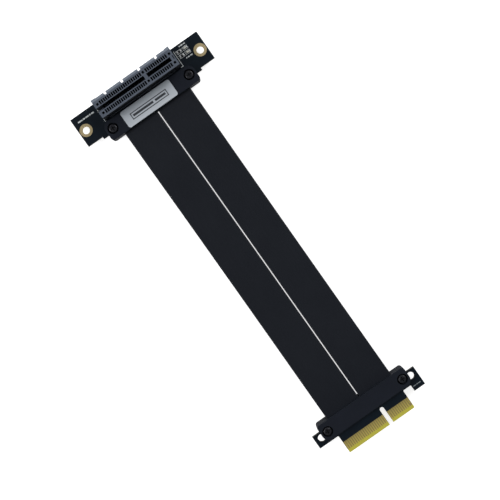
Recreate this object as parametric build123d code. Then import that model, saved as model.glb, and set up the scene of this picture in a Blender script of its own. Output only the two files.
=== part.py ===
from build123d import *
import math
import os

# Extension cable for a four-lane card slot: a card-edge plug, four flat ribbons in two
# layers, and a card slot on a small board with two bolt holes. Millimetres, +Z up, +Y runs
# from the plug to the slot, and the origin is the bottom centre of the object, measured
# without its ribbons.

# Cable length
cable_between_covers = 150.0

# Boards
board_thickness = 1.6
slot_board_width = 65.5
slot_board_depth = 13.5
slot_tab_past_cover = 2.7
slot_tab_depth = 14.55
plug_lug_past_cover = 3.95
plug_lug_depth = 6.05
plug_tail_width = 5.5
plug_tail_depth = 9.05
plug_inner_corner = 0.4
lug_hole_diameter = 3.5
lug_hole_from_end = 3.3
lug_hole_from_edge = 2.6

# Bolt holes in the slot board, with their plated rings
bolt_hole_diameter = 3.2
bolt_hole_from_end = 3.15
bolt_hole_from_far_edge = 7.3
ring_diameter = 5.6
ring_thickness = 0.06
barrel_wall = 0.1

# Card edge with four lanes
contact_pitch = 1.0
short_contacts = 11
long_contacts = 21
key_to_first_contact = 1.5
key_to_short_edge = 12.15
key_to_long_edge = 22.15
tongue_tip_from_edge = 15.1
tongue_corner = 0.5
notch_width = 1.95
notch_depth = 8.6
bevel_length = 1.75
bevel_depth = 0.45
finger_width = 0.7
finger_top_from_tip = 5.6
finger_thickness = 0.06
short_finger_cut = 1.2
short_fingers_top = (1,)
short_fingers_bottom = (17, 31)

# Slot housing
housing_length = 39.0
housing_width = 7.5
housing_height = 11.25
housing_offset = -0.8
key_from_housing_centre = 5.0
slot_line_from_far_edge = 5.1
flange_proud = 0.95
post_proud = 0.2
post_length = 2.1
groove_width = 1.1
groove_depth = 1.1
groove_pitch = 8.5
groove_count = 4
card_slot_width = 1.8
card_slot_depth = 8.0
card_slot_end_clearance = 0.45
key_bar_width = 1.5
window_width = 0.7
window_depth = 1.65
window_rim = 0.4
window_floor = 1.5
spring_opening_floor = 2.2
spring_opening_top = 1.65
core_hole_side = 1.0
core_hole_depth = 3.0
core_hole_past_slot = 0.6
core_hole_from_long_end = 1.6
near_rim_height = 1.0
near_recess_depth = 0.45
near_recess_floor = 1.2
end_recess_width = 1.8
end_recess_depth = 0.5
end_recess_length = 0.35
end_recess_from_end = 0.5

# Spring contacts
spring_width = 0.45
spring_thickness = 0.3
spring_bend = 0.35
spring_root_gap = 0.2
spring_root_height = 3.6
spring_jog_start = 1.9
spring_jog_end = 2.8
spring_crest_height = 8.2
spring_crest_reach = 0.2
spring_tip_height = 10.4
spring_tip_gap = 0.55
tail_stagger = 1.0
tail_below_board = 1.0
tail_hole_diameter = 0.8
tail_clearance = 0.05
solder_foot_radius = 0.65
solder_top_radius = 0.34
solder_height = 0.7

# Two-part covers, the same at both ends
shell_length = 8.2
shell_half_height = 3.7
shell_overhang = 3.3
shell_mouth_corner = 1.3
shell_board_corner = 3.15
shell_edge_round = 0.2
shell_roof = 1.2
shell_rear_wall = 1.3
shell_board_clearance = 0.1
mouth_depth = 2.0
mouth_side_clearance = 0.2
cavity_side_clearance = 0.4

# Cover screws and nuts, metric two millimetre
screw_from_ribbon_mouth = 2.5
screw_from_shell_side = 3.15
screw_from_mouth = 4.4
screw_diameter = 2.0
screw_length = 5.0
screw_hole_clearance = 0.1
head_diameter = 3.6
head_height = 1.3
head_round = 0.5
head_side_clearance = 0.6
head_sunk = 0.3
recess_length = 2.0
recess_width = 0.5
recess_depth = 0.8
nut_across_flats = 4.0
nut_thickness = 1.6
nut_side_clearance = 0.1
nut_sunk = 0.4
thread_clearance = 0.05
board_notch_clearance = 0.2

# Label plate on the slot end's upper cover
label_length = 25.1
label_margin = 0.25
label_thickness = 0.3
label_corner = 1.0
label_offset = -1.25

# Ribbons
ribbon_width = 16.75
ribbon_thickness = 1.1
ribbon_edge_round = 0.3
ribbon_side_gap = 0.4
ribbon_layer_gap = 0.1
ribbon_mouth_clearance = 0.1
ribbon_floor_gap = 0.05
ribbon_end_inside = 1.8
ribbon_level_run = 16.4
ribbon_ramp_run = 31.0
bend_share = 0.45

# Conductors of the ribbons inside the covers, and the pads that they are soldered to
wires_per_ribbon = 8
wire_pitch = 2.0
wire_diameter = 0.32
wire_straight = 0.25
wire_jog = 1.0
wire_bend = 0.25
pad_width = 1.2
pad_length = 1.8
pad_thickness = 0.05
pad_from_board_edge = 0.2

# Two indicator lights with their resistors, on the free board between the housing and a bolt
# ring. Each column's place is a share of that free width, counted from the housing.
indicator_line_from_far_edge = 2.9
indicator_pitch = 2.1
resistor_place = 0.3827
led_place = 0.7531
chip_length = 1.6
chip_width = 0.8
chip_cap_length = 0.3
chip_cap_proud = 0.03
led_base_height = 0.25
led_lens_height = 0.6
led_lens_length = 0.95
resistor_height = 0.45

# Places that follow from the sizes above
board_middle_z = shell_half_height
board_top_z = board_middle_z + board_thickness / 2
board_bottom_z = board_middle_z - board_thickness / 2
slot_mouth_from_far_edge = slot_tab_depth + shell_overhang
plug_mouth_from_tip = tongue_tip_from_edge + shell_overhang
total_length = slot_mouth_from_far_edge + cable_between_covers + plug_mouth_from_tip
slot_far_edge_y = total_length / 2
plug_tip_y = -total_length / 2
slot_mouth_y = slot_far_edge_y - slot_mouth_from_far_edge
plug_mouth_y = plug_tip_y + plug_mouth_from_tip
plug_edge_y = plug_tip_y + tongue_tip_from_edge
plug_key_x = (key_to_long_edge - key_to_short_edge) / 2
slot_key_x = housing_offset + key_from_housing_centre
slot_line_y = slot_far_edge_y - slot_line_from_far_edge
ribbon_x = (ribbon_width + ribbon_side_gap) / 2
ribbon_layer_z = (ribbon_thickness + ribbon_layer_gap) / 2
mouth_half = ribbon_x + ribbon_width / 2 + mouth_side_clearance
screw_x = mouth_half + screw_from_ribbon_mouth
shell_width = 2 * (screw_x + screw_from_shell_side)
label_width = shell_length - 2 * label_margin
slot_tab_width = shell_width + 2 * slot_tab_past_cover
plug_lug_width = shell_width + 2 * plug_lug_past_cover
lug_hole_x = plug_lug_width / 2 - lug_hole_from_end
bolt_hole_x = slot_board_width / 2 - bolt_hole_from_end
housing_end_x = housing_offset + housing_length / 2
free_board_width = bolt_hole_x - ring_diameter / 2 - housing_end_x
resistor_x = housing_end_x + resistor_place * free_board_width
led_x = housing_end_x + led_place * free_board_width
window_y = card_slot_width / 2 + window_rim + window_depth / 2
spring_root_y = window_y + window_depth / 2 - spring_root_gap - spring_thickness / 2


def contact_places():
    """Contact places along X from the key, in order from the short end."""
    last = key_to_first_contact + (short_contacts - 1) * contact_pitch
    short_side = [last - i * contact_pitch for i in range(short_contacts)]
    long_side = [-key_to_first_contact - i * contact_pitch for i in range(long_contacts)]
    return short_side + long_side


def tail_place(number):
    """Distance of a contact's tail from the slot's middle line: every other one is staggered."""
    return spring_root_y if number % 2 else spring_root_y - tail_stagger


def box_between(x0, x1, y0, y1, z0, z1):
    """A block given by its two corners."""
    centre = Pos((x0 + x1) / 2, (y0 + y1) / 2, (z0 + z1) / 2)
    return centre * Box(abs(x1 - x0), abs(y1 - y0), abs(z1 - z0))


def swept(section, path):
    """A section drawn with X across, carried along a path that stays in a plane of Y and Z."""
    start = Plane(origin=path @ 0, x_dir=(1, 0, 0), z_dir=path % 0)
    return sweep(start * section, path=path)


def write(name, solids):
    """Write one sub-part, as one solid or as a group of separate solids."""
    parts = list(solids) if isinstance(solids, (list, tuple)) else [solids]
    loose = [solid for part in parts for solid in part.solids()]
    shape = loose[0] if len(loose) == 1 else Compound(children=loose)
    export_step(shape, os.path.join("parts", name + ".step"))


def slot_board():
    """Board of the slot end, with bolt holes, contact holes and notches for the cover screws."""
    plan = Rectangle(slot_board_width, slot_board_depth, align=(Align.CENTER, Align.MAX))
    plan += Rectangle(slot_tab_width, slot_tab_depth, align=(Align.CENTER, Align.MAX))
    bore = bolt_hole_diameter / 2 + barrel_wall
    notch_half = screw_diameter / 2 + board_notch_clearance
    screw_y = screw_from_mouth - slot_mouth_from_far_edge
    for side in (-1, 1):
        plan -= Pos(side * bolt_hole_x, -bolt_hole_from_far_edge) * Circle(bore)
        plan -= board_notch(side * screw_x, screw_y, notch_half, -slot_tab_depth)
    holes = []
    for number, place in enumerate(contact_places()):
        for row in (-1, 1):
            centre = Pos(slot_key_x + place, row * tail_place(number) - slot_line_from_far_edge)
            holes.append(centre * Circle(tail_hole_diameter / 2))
    plan -= holes
    return Pos(0, slot_far_edge_y, board_bottom_z) * extrude(plan, board_thickness)


def board_notch(x, y, half_width, edge_y):
    """Round-ended notch from a board's edge, which lets a cover screw pass."""
    run = abs(edge_y - y)
    towards_edge = Align.MAX if edge_y < y else Align.MIN
    return Pos(x, y) * (Circle(half_width)
                        + Rectangle(2 * half_width, run, align=(Align.CENTER, towards_edge)))


def ring_plating():
    """Plated ring and barrel of each bolt hole, like an eyelet through the board."""
    bore = bolt_hole_diameter / 2
    whole = board_thickness + 2 * ring_thickness
    eyelet = Cylinder(ring_diameter / 2, whole)
    eyelet -= Cylinder(ring_diameter, board_thickness) - Cylinder(bore + barrel_wall, board_thickness)
    eyelet -= Cylinder(bore, whole)
    y = slot_far_edge_y - bolt_hole_from_far_edge
    return [Pos(side * bolt_hole_x, y, board_middle_z) * eyelet for side in (-1, 1)]


def slot_housing():
    """Moulded housing of the card slot: open at its long end, with a bar at the key."""
    long_end = key_from_housing_centre + housing_length / 2
    short_end = housing_length / 2 - key_from_housing_centre
    half = housing_width / 2
    top = housing_height
    body = box_between(-long_end, short_end, -half, half + flange_proud, 0, top)
    for start in (-long_end, short_end - post_length):
        body += box_between(start, start + post_length, half, half + flange_proud + post_proud, 0, top)

    outer_face = half + flange_proud
    for i in range(groove_count):
        x = (i - (groove_count - 1) / 2) * groove_pitch - key_from_housing_centre
        body -= box_between(x - groove_width / 2, x + groove_width / 2,
                            outer_face - groove_depth, outer_face, 0, top)

    body -= box_between(-long_end + post_length, short_end - post_length, -half,
                        -half + near_recess_depth, near_recess_floor, top - near_rim_height)

    slot_half = card_slot_width / 2
    slot_floor = top - card_slot_depth
    slot_short_end = key_to_short_edge + card_slot_end_clearance
    body -= box_between(-long_end, -key_bar_width / 2, -slot_half, slot_half, slot_floor, top)
    body -= box_between(key_bar_width / 2, slot_short_end, -slot_half, slot_half, slot_floor, top)
    recess_end = short_end - end_recess_from_end
    body -= box_between(recess_end - end_recess_length, recess_end, -end_recess_width / 2,
                        end_recess_width / 2, top - end_recess_depth, top)

    cuts = []
    core_places = (core_hole_from_long_end - long_end, 0, slot_short_end + core_hole_past_slot)
    for row in (-1, 1):
        for number, place in enumerate(contact_places()):
            cuts += contact_cuts(place, row, tail_place(number), slot_half, top)
        for place in core_places:
            cuts.append(Pos(place, row * window_y, top - core_hole_depth / 2)
                        * Box(core_hole_side, core_hole_side, core_hole_depth))
    body -= cuts
    return Pos(slot_key_x, slot_line_y, board_top_z) * body


def contact_cuts(place, row, tail_y, slot_half, top):
    """Window, opening to the card slot and tail hole of one contact."""
    x0, x1 = place - window_width / 2, place + window_width / 2
    inner = row * (window_y - window_depth / 2)
    outer = row * (window_y + window_depth / 2)
    tail_half = spring_thickness / 2 + tail_clearance
    return [box_between(x0, x1, inner, outer, window_floor, top),
            box_between(x0, x1, row * slot_half / 2, inner, spring_opening_floor,
                        top - spring_opening_top),
            box_between(x0, x1, row * tail_y - tail_half, row * tail_y + tail_half,
                        0, window_floor)]


def spring_contact(tail_y):
    """One contact on the far side of the slot: tail, root, sprung beam, crest and tip."""
    crest_y = card_slot_width / 2 - spring_crest_reach + spring_thickness / 2
    tip_y = window_y - window_depth / 2 + spring_tip_gap + spring_thickness / 2
    points = [(0, tail_y, -board_thickness - tail_below_board)]
    if tail_y != spring_root_y:
        points += [(0, tail_y, spring_jog_start), (0, spring_root_y, spring_jog_end)]
    points += [(0, spring_root_y, spring_root_height), (0, crest_y, spring_crest_height),
               (0, tip_y, spring_tip_height)]
    path = FilletPolyline(*points, radius=spring_bend)
    return swept(Rectangle(spring_width, spring_thickness), path)


def spring_contacts():
    """Both rows of contacts; the near row is the far one turned round."""
    shapes = [spring_contact(tail_place(number)) for number in (0, 1)]
    rows = {-1: [], 1: []}
    for number, place in enumerate(contact_places()):
        for row in rows:
            turn = Rot(0, 0, 0 if row > 0 else 180)
            where = Pos(slot_key_x + place, slot_line_y, board_top_z)
            rows[row].append(where * turn * shapes[number % 2])
    return rows


def solder_joints():
    """A cone of solder round each contact tail, under the slot board."""
    cone = Cone(solder_top_radius, solder_foot_radius, solder_height,
                align=(Align.CENTER, Align.CENTER, Align.MAX))
    cone -= Box(spring_width, spring_thickness, 2 * solder_height)
    joints = []
    for number, place in enumerate(contact_places()):
        for row in (-1, 1):
            y = slot_line_y + row * tail_place(number)
            joints.append(Pos(slot_key_x + place, y, board_bottom_z) * cone)
    return joints


def chip(height, cap_height):
    """Chip part with a silvered cap at each end, standing on z = 0."""
    on_board = (Align.CENTER, Align.CENTER, Align.MIN)
    body = Box(chip_length - 2 * chip_cap_length, chip_width, height, align=on_board)
    for side in (-1, 1):
        cap = Box(chip_cap_length, chip_width + 2 * chip_cap_proud, cap_height, align=on_board)
        body += Pos(side * (chip_length - chip_cap_length) / 2) * cap
    return body


def indicators():
    """Lights and resistors in two rows beside the slot."""
    lens = Box(led_lens_length, chip_width, led_lens_height, align=(Align.CENTER, Align.CENTER, Align.MIN))
    led = chip(led_base_height, led_base_height + chip_cap_proud) + lens
    resistor = chip(resistor_height, resistor_height + chip_cap_proud)
    leds, resistors = [], []
    for i in range(2):
        y = slot_far_edge_y - indicator_line_from_far_edge - i * indicator_pitch
        leds.append(Pos(led_x, y, board_top_z) * led)
        resistors.append(Pos(resistor_x, y, board_top_z) * resistor)
    return leds, resistors


def plug_board():
    """Board of the plug end: two drilled lugs, a tail under one, and the card-edge tongue."""
    align = (Align.CENTER, Align.MAX)
    tongue_width = key_to_short_edge + key_to_long_edge
    plan = Rectangle(plug_lug_width, plug_lug_depth, align=align)
    plan += Rectangle(tongue_width, tongue_tip_from_edge, align=align)
    tail_x = (plug_lug_width - plug_tail_width) / 2
    plan += Pos(tail_x, 0) * Rectangle(plug_tail_width, plug_tail_depth, align=align)
    inner = [v for v in plan.vertices() if abs(v.Y + plug_lug_depth) < plug_inner_corner / 2
             and abs(v.X) < (plug_lug_width - plug_tail_width) / 2]
    plan = fillet(inner, plug_inner_corner)
    plan = fillet(plan.vertices().group_by(Axis.Y)[0], tongue_corner)
    notch_end = -tongue_tip_from_edge + notch_depth - notch_width / 2
    plan -= board_notch(plug_key_x, notch_end, notch_width / 2, -tongue_tip_from_edge)
    screw_y = shell_overhang - screw_from_mouth
    notch_half = screw_diameter / 2 + board_notch_clearance
    for side in (-1, 1):
        hole = Pos(side * lug_hole_x, -lug_hole_from_edge) * Circle(lug_hole_diameter / 2)
        plan -= hole
        plan -= board_notch(side * screw_x, screw_y, notch_half, 0)
    board = Pos(0, plug_edge_y, board_bottom_z) * extrude(plan, board_thickness)
    for side, face_z in ((1, board_top_z), (-1, board_bottom_z)):
        wedge = make_face(Polyline((plug_tip_y, face_z), (plug_tip_y + bevel_length, face_z),
                                   (plug_tip_y, face_z - side * bevel_depth), close=True))
        board -= extrude(Plane.YZ * wedge, tongue_width, both=True)
    return board


def plug_fingers(face_z, side, short_numbers):
    """Gold fingers on one face of the tongue; the presence fingers stop short of the others."""
    fingers = []
    top_y = plug_tip_y + finger_top_from_tip
    for number, place in enumerate(contact_places(), start=1):
        tip_y = plug_tip_y + bevel_length + (short_finger_cut if number in short_numbers else 0)
        x = plug_key_x + place
        fingers.append(box_between(x - finger_width / 2, x + finger_width / 2, tip_y, top_y,
                                   face_z, face_z + side * finger_thickness))
    return fingers


def shell(fastener_cut):
    """One half of a cover: outer face up, meeting plane at z = 0, mouth at y = 0."""
    plan = Rectangle(shell_width, shell_length, align=(Align.CENTER, Align.MIN))
    plan = fillet(plan.vertices().group_by(Axis.Y)[0], shell_mouth_corner)
    plan = fillet(plan.vertices().group_by(Axis.Y)[-1], shell_board_corner)
    body = extrude(plan, shell_half_height)
    body = fillet(body.faces().sort_by(Axis.Z)[-1].edges(), shell_edge_round)

    body -= box_between(-shell_width, shell_width, shell_overhang - shell_board_clearance,
                        shell_length, 0, board_thickness / 2)
    mouth_top = ribbon_layer_z + ribbon_thickness / 2 + ribbon_mouth_clearance
    body -= box_between(-mouth_half, mouth_half, 0, mouth_depth, 0, mouth_top)
    cavity_half = ribbon_x + (wires_per_ribbon - 1) / 2 * wire_pitch + pad_width / 2
    cavity_half += cavity_side_clearance
    body -= box_between(-cavity_half, cavity_half, mouth_depth, shell_length - shell_rear_wall,
                        0, shell_half_height - shell_roof)
    for side in (-1, 1):
        where = Pos(side * screw_x, screw_from_mouth, 0)
        bore = screw_diameter / 2 + screw_hole_clearance
        body -= where * Cylinder(bore, 3 * shell_half_height)
        body -= where * fastener_cut
    return body


def head_counterbore():
    """Round seat for a screw head, sunk from a shell's outer face."""
    depth = head_height + head_sunk
    radius = (head_diameter + 2 * head_side_clearance) / 2
    return Pos(0, 0, shell_half_height - depth / 2) * Cylinder(radius, depth)


def nut_pocket():
    """Six-sided seat for a nut, sunk from a shell's outer face."""
    depth = nut_thickness + nut_sunk
    hexagon = RegularPolygon(nut_across_flats / 2 + nut_side_clearance, 6, major_radius=False)
    return Pos(0, 0, shell_half_height - depth) * extrude(hexagon, depth)


def cover_screw():
    """Pan-head screw with a cross recess; the underside of its head is at z = 0."""
    head = Cylinder(head_diameter / 2, head_height, align=(Align.CENTER, Align.CENTER, Align.MIN))
    head = fillet(head.faces().sort_by(Axis.Z)[-1].edges(), head_round)
    for turn in (0, 90):
        arm = Box(recess_length, recess_width, recess_depth, align=(Align.CENTER, Align.CENTER, Align.MAX))
        head -= Pos(0, 0, head_height) * Rot(0, 0, turn) * arm
    shank = Cylinder(screw_diameter / 2, screw_length, align=(Align.CENTER, Align.CENTER, Align.MAX))
    return head + shank


def cover_nut():
    """Six-sided nut standing on z = 0."""
    hexagon = RegularPolygon(nut_across_flats / 2, 6, major_radius=False)
    hexagon -= Circle(screw_diameter / 2 + thread_clearance)
    return extrude(hexagon, nut_thickness)


def cover_fasteners():
    """Two screws and two nuts, placed as a shell is."""
    seat = shell_half_height - head_height - head_sunk
    screws, nuts = [], []
    for side in (-1, 1):
        x = side * screw_x
        screws.append(Pos(x, screw_from_mouth, seat) * cover_screw())
        nuts.append(Pos(x, screw_from_mouth, nut_sunk - shell_half_height) * cover_nut())
    return screws, nuts


def end_wires():
    """Bare conductors of the upper ribbons, stepping up to the pads on a board."""
    pad_top = board_thickness / 2 + pad_thickness
    pad_end = shell_overhang + pad_from_board_edge + pad_length
    start = ribbon_end_inside
    points = [(0, start, ribbon_layer_z), (0, start + wire_straight, ribbon_layer_z),
              (0, start + wire_straight + wire_jog, pad_top + wire_diameter / 2),
              (0, pad_end, pad_top + wire_diameter / 2)]
    wire = swept(Circle(wire_diameter / 2), FilletPolyline(*points, radius=wire_bend))
    return [Pos(x, 0, 0) * wire for x in wire_places()]


def wire_places():
    """Places of the conductors along X."""
    first = -(wires_per_ribbon - 1) / 2 * wire_pitch
    return [side * ribbon_x + first + i * wire_pitch
            for side in (-1, 1) for i in range(wires_per_ribbon)]


def end_pads():
    """Solder pads on both faces of a board, under the conductors."""
    y0 = shell_overhang + pad_from_board_edge
    z0 = board_thickness / 2
    return [box_between(x - pad_width / 2, x + pad_width / 2, y0, y0 + pad_length,
                        side * z0, side * (z0 + pad_thickness))
            for side in (-1, 1) for x in wire_places()]


def label_plate():
    """Thin plate with round corners, laid on the upper cover of the slot end."""
    plan = RectangleRounded(label_length, label_width, label_corner)
    where = Pos(label_offset, slot_mouth_y + shell_length / 2, board_middle_z + shell_half_height)
    return where * extrude(plan, label_thickness)


def ribbon_route(layer):
    """Points along a ribbon's middle, in Y and Z: level, down, along the floor, up and level."""
    start = plug_mouth_y - ribbon_end_inside
    end = slot_mouth_y + ribbon_end_inside
    exit_z = board_middle_z + layer * ribbon_layer_z
    floor_z = ribbon_floor_gap + ribbon_thickness / 2 + (layer + 1) * ribbon_layer_z
    level, ramp = ribbon_level_run, ribbon_level_run + ribbon_ramp_run
    return [(0, start, exit_z), (0, start + level, exit_z), (0, start + ramp, floor_z),
            (0, end - ramp, floor_z), (0, end - level, exit_z), (0, end, exit_z)]


def bend_radii(points):
    """Radius at each corner of a route, as large as its two runs allow."""
    radii = []
    for before, corner, after in zip(points, points[1:], points[2:]):
        arriving = Vector(corner) - Vector(before)
        leaving = Vector(after) - Vector(corner)
        half_turn = math.radians(arriving.get_angle(leaving) / 2)
        radii.append(bend_share * min(arriving.length, leaving.length) / math.tan(half_turn))
    return radii


def ribbon(layer):
    """One flat ribbon on the object's middle line, in the lower (-1) or upper (1) layer."""
    points = ribbon_route(layer)
    radii = bend_radii(points)
    path = FilletPolyline(*points, radius=radii)
    section = RectangleRounded(ribbon_width, ribbon_thickness, ribbon_edge_round)
    body = swept(section, path)
    print("ribbon layer", layer, "radii", [round(r, 1) for r in radii],
          "length", round(path.length, 2), "volume", round(body.volume, 1),
          "section times length", round(section.area * path.length, 1))
    return body


os.makedirs("parts", exist_ok=True)

write("slot_board", slot_board())
write("slot_bolt_hole_plating", ring_plating())
write("slot_housing", slot_housing())
contacts = spring_contacts()
write("slot_contacts_near", contacts[-1])
write("slot_contacts_far", contacts[1])
write("slot_solder_joints", solder_joints())
lights, resistors = indicators()
write("indicator_leds", lights)
write("indicator_resistors", resistors)
write("slot_label_plate", label_plate())
write("plug_board", plug_board())
write("plug_fingers_top", plug_fingers(board_top_z, 1, short_fingers_top))
write("plug_fingers_bottom", plug_fingers(board_bottom_z, -1, short_fingers_bottom))

upper_shell = shell(head_counterbore())
lower_shell = Rot(0, 180, 0) * shell(nut_pocket())
screws, nuts = cover_fasteners()
wires = end_wires()
ends = {"slot": Pos(0, slot_mouth_y, board_middle_z),
        "plug": Pos(0, plug_mouth_y, board_middle_z) * Rot(0, 0, 180)}
for end, place in ends.items():
    write(end + "_cover_top", place * upper_shell)
    write(end + "_cover_bottom", place * lower_shell)
    write(end + "_cover_screws", [place * screw for screw in screws])
    write(end + "_cover_nuts", [place * nut for nut in nuts])
    write(end + "_board_pads", [place * pad for pad in end_pads()])
    write(end + "_end_wires_upper", [place * wire for wire in wires])
    write(end + "_end_wires_lower", [place * Rot(0, 180, 0) * wire for wire in wires])

for layer_name, layer in (("lower", -1), ("upper", 1)):
    body = ribbon(layer)
    for side_name, side in (("left", -1), ("right", 1)):
        write("ribbon_" + layer_name + "_" + side_name, Pos(side * ribbon_x, 0, 0) * body)
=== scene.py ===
# %% [markdown]
# # A flat-ribbon extension cable for a card slot
#
# The real object is made in three quite different ways. Its card-edge plug and its slot
# stand on printed circuit boards, their covers and the slot's housing are moulded plastic,
# and the cable between them is four flat ribbons in two layers.
#
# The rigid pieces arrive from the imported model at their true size. This script gives each
# one the finish of its real material, and makes what a drawing of solids leaves out: the
# ribbons' ridged jackets, the plated fingers, the ink on the boards, the solder at the chips
# and the rounded edges of the moulded housing.

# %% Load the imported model
import bmesh
import bpy
import math
from mathutils import Matrix, Vector


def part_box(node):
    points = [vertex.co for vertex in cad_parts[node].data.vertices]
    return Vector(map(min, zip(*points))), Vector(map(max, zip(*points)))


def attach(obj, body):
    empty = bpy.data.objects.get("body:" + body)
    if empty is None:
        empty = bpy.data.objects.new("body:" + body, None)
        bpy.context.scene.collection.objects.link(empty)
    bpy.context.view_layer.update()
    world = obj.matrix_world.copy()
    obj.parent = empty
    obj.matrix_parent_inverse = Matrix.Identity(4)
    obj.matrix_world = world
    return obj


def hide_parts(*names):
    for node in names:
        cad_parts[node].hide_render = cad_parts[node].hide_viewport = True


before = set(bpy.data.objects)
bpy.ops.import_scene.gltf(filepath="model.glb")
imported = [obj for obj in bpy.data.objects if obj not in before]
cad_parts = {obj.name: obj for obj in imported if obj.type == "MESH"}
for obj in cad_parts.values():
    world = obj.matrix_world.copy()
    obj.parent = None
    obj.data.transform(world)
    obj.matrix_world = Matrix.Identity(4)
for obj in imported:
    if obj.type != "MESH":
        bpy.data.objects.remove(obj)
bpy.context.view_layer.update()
MM = 0.001
print("packed pieces:", len(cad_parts))

# %% [markdown]
# ## Where the camera stands
#
# The picture was taken from above, at about the distance of an arm's reach, with the cable
# lying across it from the slot at the upper left to the plug at the lower right. A camera
# can be placed by eye, but the slot and the card edge have standard sizes, so their corners
# in the picture tell where it stood. It was 400 mm above the table, a little towards the
# slot, and it looked almost straight down: it leans by a few degrees, and the slant in the
# picture is a turn about the line of sight.
#
# In Blender the camera is a block of data, and an object gives it a place. Every mesh and
# every lamp below is shown in the same way, so one function makes such an object.

# %% Camera
CAMERA_PLACE = Vector((2.2, 25.6, 400.0)) * MM
LEAN_ABOUT_X = -0.0541
LEAN_ABOUT_Y = 0.0106
SLANT = math.radians(-35.14)
SENSOR = 36.0
FOCAL_LENGTH = 66.5
NEAREST_SEEN = 10 * MM


def add_object(name, data):
    """An object at the origin that shows the data, linked to the scene."""
    item = bpy.data.objects.new(name, data)
    bpy.context.scene.collection.objects.link(item)
    return item


def place_camera():
    """Camera above the object, aimed down and turned about its line of sight."""
    data = bpy.data.cameras.new("camera")
    data.sensor_width = SENSOR
    data.lens = FOCAL_LENGTH
    data.clip_start = NEAREST_SEEN
    camera = add_object("camera", data)
    lean = Matrix.Rotation(LEAN_ABOUT_X, 4, "X") @ Matrix.Rotation(LEAN_ABOUT_Y, 4, "Y")
    camera.matrix_world = (Matrix.Translation(CAMERA_PLACE) @ lean
                           @ Matrix.Rotation(SLANT, 4, "Z"))
    bpy.context.scene.camera = camera


place_camera()
print("camera at", [round(c, 3) for c in CAMERA_PLACE])

# %% [markdown]
# ## Colours
#
# Colours are easiest to pick as the hex values that a paint program shows. Those are sRGB
# and the renderer works in linear light, so one function turns them. The curve between the
# two is a straight line near black and a power above it.

# %% Hex colours in linear light
def linear(hex_colour):
    """An sRGB hex colour as a linear RGBA value."""
    channels = [int(hex_colour[i:i + 2], 16) / 255 for i in (1, 3, 5)]
    turned = [c / 12.92 if c <= 0.04045 else ((c + 0.055) / 1.055) ** 2.4 for c in channels]
    return (*turned, 1.0)


print("half grey in linear light:", round(linear("#808080")[0], 3))

# %% [markdown]
# ## Nodes
#
# A material is a tree of nodes, and so is geometry that is made by a recipe. Setting and
# linking each node by hand makes long code, so one function adds a node of any kind in one
# call. A socket is named or numbered, and takes another node's output, a hex colour or a
# plain value. What comes back is the output that the next node needs, which is the first
# one unless the call names another.

# %% Add a node
def set_sockets(tree, node, sockets):
    """Give each named or numbered socket a link, a hex colour or a plain value."""
    for socket, value in sockets.items():
        if isinstance(value, bpy.types.NodeSocket):
            tree.links.new(value, node.inputs[socket])
        elif isinstance(value, str) and value.startswith("#"):
            node.inputs[socket].default_value = linear(value)
        else:
            node.inputs[socket].default_value = value


def add_node(tree, kind, sockets=None, out=0, **settings):
    """Add a node with its settings and sockets; gives one output, or the node for None."""
    node = tree.nodes.new(kind)
    for name, value in settings.items():
        setattr(node, name, value)
    set_sockets(tree, node, sockets or {})
    return node if out is None else node.outputs[out]


print("node trees before the first recipe:", len(bpy.data.node_groups))

# %% [markdown]
# ## Materials
#
# Every material starts with a principled shader and its plain values, and with the object's
# own coordinates. Each piece here stays at the origin, so those coordinates are true places
# on the real thing, and one material can tell places apart. No real finish is quite even, and
# most of its variation is noise of a known size. A noise node takes a scale, which is one
# over the size of its blotches, so the sizes below are written in millimetres and turned.

# %% Start a material
NOISE_DETAIL = 3.0
# A mix node has sockets for each kind of value, and these are the numbers of its colours.
FIRST, SECOND, MIXED = 6, 7, 2


def scale_for(size_mm):
    """Scale of a noise whose blotches are about the given size in millimetres."""
    return 1 / (size_mm * MM)


def start_material(name, colour, roughness, metallic=0.0, specular=0.5):
    """A material with its plain values set, and its tree, its shader and its coordinates."""
    material = bpy.data.materials.new(name)
    material.use_nodes = True
    material.diffuse_color = linear(colour)
    tree = material.node_tree
    shader = tree.nodes["Principled BSDF"]
    set_sockets(tree, shader, {"Base Color": colour, "Roughness": roughness,
                               "Metallic": metallic, "Specular IOR Level": specular})
    return material, tree, shader, add_node(tree, "ShaderNodeTexCoord", out="Object")


print("noise of 2 mm blotches has a scale of", scale_for(2.0), "per metre")

# %% [markdown]
# ## The ribbon's jacket
#
# The ribbons are rows of thin conductors between two films of black polyester, hot-rolled
# together. The film is matte, its surface follows the conductors as very low ridges, and the
# rollers leave a fine lengthwise drag. So the colour is close to even, and nearly all of the
# character is in how softly light spreads along the ridges. The drag is stretched noise: the
# pattern is squeezed across the ribbon and drawn out along it. Both drag and grain are finer
# on a real film, and are drawn a little coarser so that they show at all.

# %% Ribbon material
DRAWN_ALONG_Y = (1.0, 0.02, 1.0)


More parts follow.
